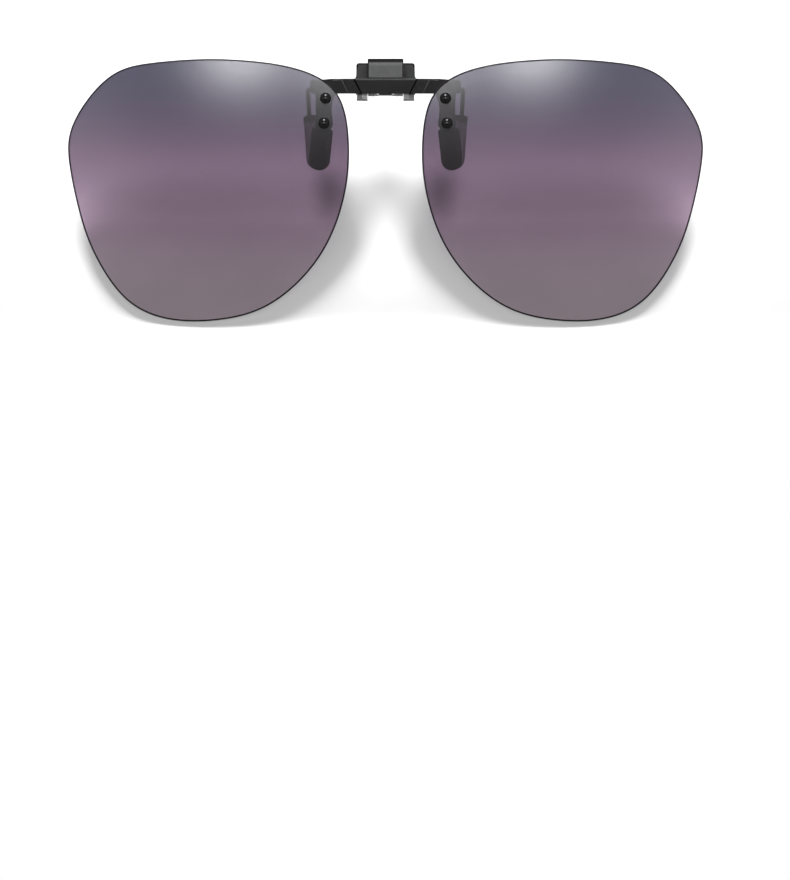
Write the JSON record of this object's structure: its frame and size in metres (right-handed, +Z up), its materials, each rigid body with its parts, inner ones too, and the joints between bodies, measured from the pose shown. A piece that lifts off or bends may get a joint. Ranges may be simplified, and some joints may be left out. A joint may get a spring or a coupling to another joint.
{
  "type": "flip-up clip-on sunglasses",
  "caption": "Rimless gradient-tinted clip-on sunglasses with a sprung pad clamp at the bridge and a hinge that lets the lenses flip up.",
  "frame": {"origin": "middle of the grip: on the centre line, at the height and depth where the closed pads meet", "axes": "+X across the face to the wearer's left, -Y to the front, away from the face, +Z up"},
  "size_m": [0.1422, 0.0123, 0.0589],
  "materials": {
    "black_metal": "satin black",
    "tinted_lens": "gloss gradient tint",
    "gloss_black_rivet": "gloss black",
    "clear_nylon": "translucent",
    "bright_steel": "drawn wire",
    "jaw_steel": "satin",
    "wire_steel": "satin dark",
    "rubber": "matte"
  },
  "bodies": {
    "clip": {"front_jaw": "jaw_steel", "front_pad_left": "rubber", "front_pad_right": "rubber", "clamp_pin": "bright_steel", "torsion_spring": "bright_steel"},
    "rear_jaw": {"rear_jaw": "black_metal", "rear_wire_left": "wire_steel", "rear_wire_right": "wire_steel", "rear_pad_left": "rubber", "rear_pad_right": "rubber"},
    "lens_frame": {"bridge": "black_metal", "lens_left": "tinted_lens", "lens_right": "tinted_lens", "lens_rivets_left": "gloss_black_rivet", "lens_rivets_right": "gloss_black_rivet", "lens_bushes_left": "clear_nylon", "lens_bushes_right": "clear_nylon", "flip_pin": "bright_steel", "flip_washer_left": "bright_steel", "flip_washer_right": "bright_steel"}
  },
  "joints": [
    {"name": "clamp_hinge", "type": "hinge", "parent": "clip", "child": "rear_jaw", "pos_m": [0, -0.0025, 0.0155], "axis": [1, 0, 0], "range_deg": [0, 16], "stiffness_Nm_per_rad": 0.06, "springref_deg": -28.65, "deforming": ["torsion_spring"]},
    {"name": "flip_hinge", "type": "hinge", "parent": "clip", "child": "lens_frame", "pos_m": [0, -0.0026, 0.0213], "axis": [-1, 0, 0], "range_deg": [0, 90]}
  ]
}
